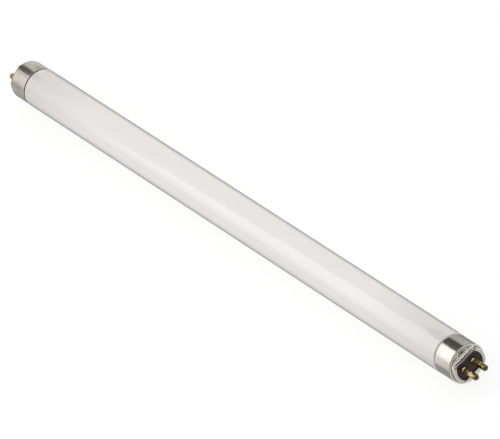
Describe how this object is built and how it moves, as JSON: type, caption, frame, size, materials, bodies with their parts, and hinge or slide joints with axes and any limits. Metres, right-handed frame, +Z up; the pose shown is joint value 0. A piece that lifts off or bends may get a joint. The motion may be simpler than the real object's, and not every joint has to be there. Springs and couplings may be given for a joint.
{
  "type": "fluorescent tube",
  "caption": "Short straight fluorescent tube of white-coated glass, with a thin metal cap, a dark insulating plate and brass contact pins at each end.",
  "frame": {"origin": "middle of the tube, on its axis", "axes": "+X along the tube, towards the right cap, with each pair of pins side by side along Y; +Z up, square to the flats of the caps"},
  "size_m": [0.302, 0.0158, 0.0158],
  "materials": {
    "coated_glass": "clear glass over a white coating on its inside",
    "cap_aluminium": "drawn sheet, satin",
    "phenolic": "dark brown phenolic board",
    "basing_cement": "baked cement",
    "pin_brass": "bright drawn brass",
    "lead_wire": "bare nickel-iron wire"
  },
  "bodies": {
    "root": {"glass_tube": "coated_glass", "end_cap_left": "cap_aluminium", "end_cap_right": "cap_aluminium", "insulator_left": "phenolic", "insulator_right": "phenolic", "cement_ring_left": "basing_cement", "cement_ring_right": "basing_cement", "pin_left_front": "pin_brass", "pin_left_back": "pin_brass", "pin_right_front": "pin_brass", "pin_right_back": "pin_brass", "lead_wire_left_front": "lead_wire", "lead_wire_left_back": "lead_wire", "lead_wire_right_front": "lead_wire", "lead_wire_right_back": "lead_wire"}
  },
  "joints": []
}
